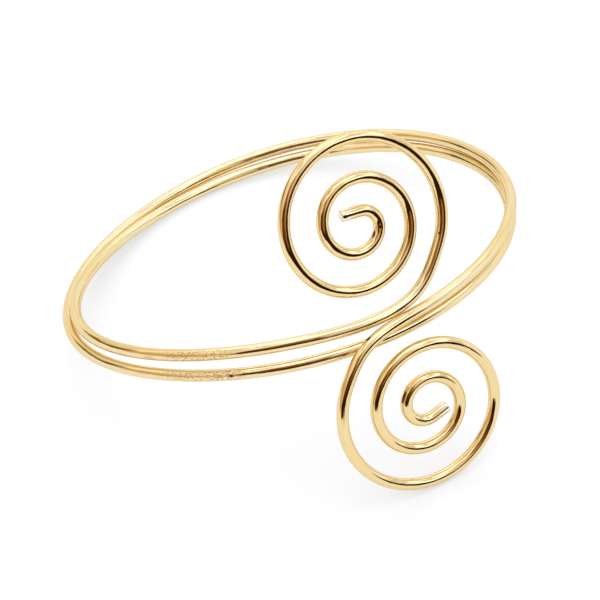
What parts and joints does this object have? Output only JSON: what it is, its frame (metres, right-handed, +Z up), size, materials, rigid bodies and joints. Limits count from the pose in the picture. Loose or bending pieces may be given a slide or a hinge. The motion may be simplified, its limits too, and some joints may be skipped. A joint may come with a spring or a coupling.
{
  "type": "upper arm cuff",
  "caption": "Open wire upper arm cuff: round polished wire coiled round the arm, its ends wound into flat spirals above and below the band at the front.",
  "frame": {"origin": "on the surface that the cuff lies on, under the middle of its bounding box", "axes": "+Z up, -Y towards the side that the two spirals face, +X to the right seen from that side"},
  "size_m": [0.0808, 0.0882, 0.0554],
  "materials": {
    "polished_gold_plate": "polished pale gold plate on round brass wire"
  },
  "bodies": {
    "root": {"wire": "polished_gold_plate"}
  },
  "joints": []
}
